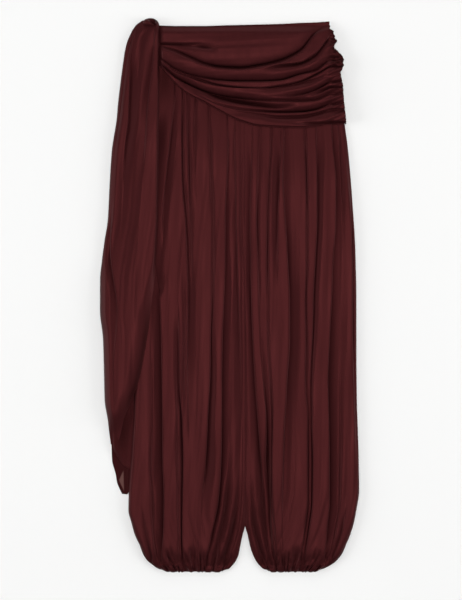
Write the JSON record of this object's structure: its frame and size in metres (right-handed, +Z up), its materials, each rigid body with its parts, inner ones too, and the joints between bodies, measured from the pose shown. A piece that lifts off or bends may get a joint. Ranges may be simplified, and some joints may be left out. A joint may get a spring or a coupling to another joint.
{
  "type": "trousers",
  "caption": "Draped harem trousers in burgundy satin, laid flat, with swags across the hips, a scarf tied at one hip and gathered ankles",
  "frame": {"origin": "the middle of the laid garment's box, on the surface that it lies on", "axes": "+X across the garment to the right as its front is seen, +Y from the hems to the waist, +Z up out of the surface"},
  "size_m": [0.4972, 1.063, 0.0217],
  "materials": {
    "satin": "soft satin sheen",
    "sheer_satin": "one thin layer of the same satin, light through it"
  },
  "bodies": {
    "root": {"back_leg_left": "satin", "back_leg_right": "satin", "front_leg_left": "satin", "front_leg_right": "satin", "hem_casing_back_left": "satin", "hem_casing_back_right": "satin", "hem_casing_front_left": "satin", "hem_casing_front_right": "satin", "hip_drape": "satin", "hip_knot": "satin", "scarf_corner": "sheer_satin", "scarf_front": "satin", "scarf_under": "satin"}
  },
  "joints": []
}
